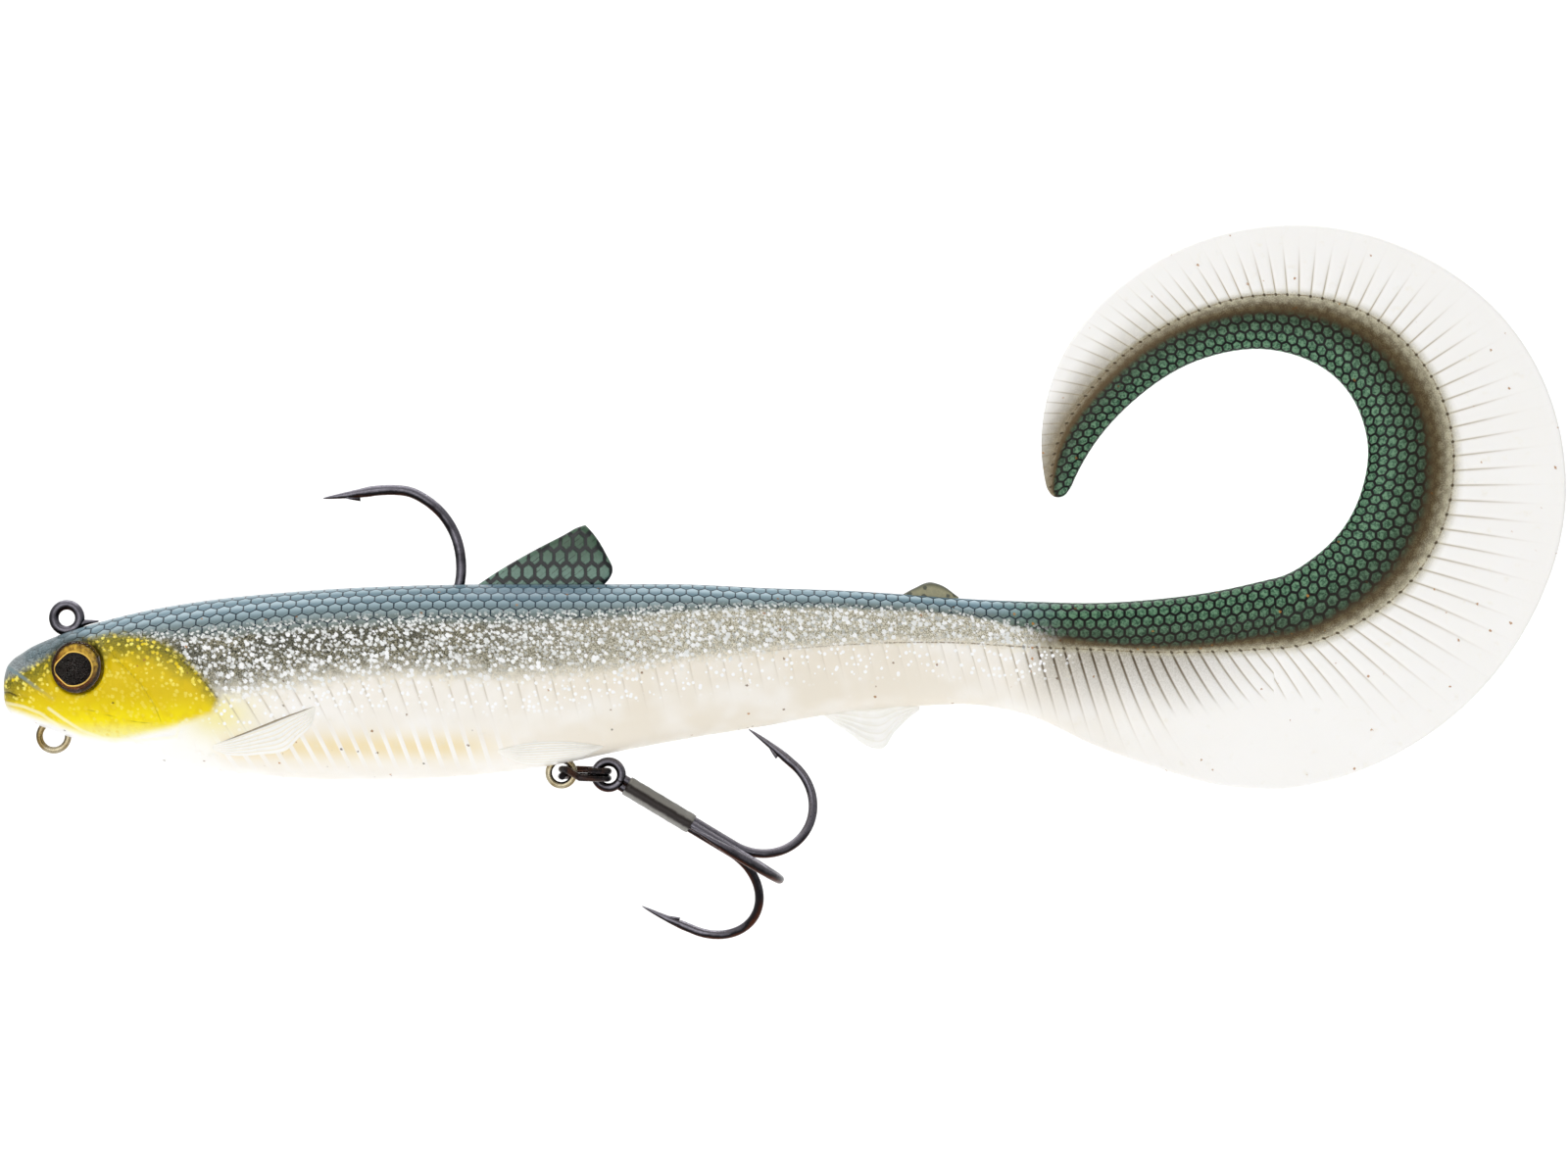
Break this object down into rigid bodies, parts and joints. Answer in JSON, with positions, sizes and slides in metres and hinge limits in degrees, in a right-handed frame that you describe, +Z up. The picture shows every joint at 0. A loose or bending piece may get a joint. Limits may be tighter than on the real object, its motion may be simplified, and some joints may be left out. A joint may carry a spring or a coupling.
{
  "type": "ready-rigged curl-tail swimbait",
  "caption": "Soft curl-tail fishing lure, ready rigged: buried weighted jig hook, line-tie eye, wire harness, split ring and a treble hook that swings under the belly.",
  "frame": {"origin": "centre of the line-tie eye at the front of the back, on the middle plane", "axes": "+X from the head towards the tail, +Z up towards the back, and the fish's left side faces -Y"},
  "size_m": [0.2406, 0.0305, 0.1107],
  "materials": {
    "soft_body": "glossy translucent plastisol with glitter",
    "soft_fin": "glossy translucent plastisol",
    "eye_foil": "printed gold foil",
    "eye_lens": "clear moulded dome",
    "black_nickel": "black nickel plating",
    "cast_weight": "dull cast lead",
    "stainless_wire": "bright drawn wire",
    "sleeve_tube": "translucent shrink tube"
  },
  "bodies": {
    "trunk": {"trunk": "soft_body", "dorsal_fin": "soft_fin", "pectoral_fin_left": "soft_fin", "pectoral_fin_right": "soft_fin", "pelvic_fin_left": "soft_fin", "pelvic_fin_right": "soft_fin", "eye_foil_left": "eye_foil", "eye_foil_right": "eye_foil", "eye_lens_left": "eye_lens", "eye_lens_right": "eye_lens", "jig_hook": "black_nickel", "cast_weight": "cast_weight", "wire_harness": "stainless_wire"},
    "rear_trunk": {"rear_trunk": "soft_body", "adipose_fin": "soft_fin", "anal_fin": "soft_fin"},
    "tail_root": {"tail_root": "soft_body"},
    "tail_bend": {"tail_bend": "soft_body"},
    "tail_crown": {"tail_crown": "soft_body"},
    "tail_tip": {"tail_tip": "soft_body"},
    "split_ring": {"split_ring": "black_nickel"},
    "treble": {"treble_double_hook": "black_nickel", "treble_third_hook": "black_nickel", "treble_sleeve": "sleeve_tube"}
  },
  "joints": [
    {"name": "trunk_flex", "type": "hinge", "parent": "trunk", "child": "rear_trunk", "pos_m": [0.0945, 0, -0.0068], "axis": [0, 0, 1], "range_deg": [-12, 12], "stiffness_Nm_per_rad": 0.1},
    {"name": "tail_root_flex", "type": "hinge", "parent": "rear_trunk", "child": "tail_root", "pos_m": [0.141, 0, -0.005], "axis": [0, 0, 1], "range_deg": [-20, 20], "stiffness_Nm_per_rad": 0.03},
    {"name": "tail_bend_flex", "type": "hinge", "parent": "tail_root", "child": "tail_bend", "pos_m": [0.186, 0, -0.01], "axis": [0, 0, 1], "range_deg": [-20, 20], "stiffness_Nm_per_rad": 0.02},
    {"name": "tail_crown_flex", "type": "hinge", "parent": "tail_bend", "child": "tail_crown", "pos_m": [0.215, 0, 0.02], "axis": [1, 0, 0], "range_deg": [-25, 25], "stiffness_Nm_per_rad": 0.02},
    {"name": "tail_tip_flex", "type": "hinge", "parent": "tail_crown", "child": "tail_tip", "pos_m": [0.186, 0, 0.051], "axis": [0, 0, 1], "range_deg": [-30, 30], "stiffness_Nm_per_rad": 0.01},
    {"name": "ring_swing", "type": "hinge", "parent": "trunk", "child": "split_ring", "pos_m": [0.0762, 0, -0.02385], "axis": [0, 1, 0], "range_deg": [0, 80]},
    {"name": "treble_swing", "type": "hinge", "parent": "split_ring", "child": "treble", "pos_m": [0.08345, 0, -0.02417], "axis": [0, 1, 0], "range_deg": [0, 30]}
  ]
}
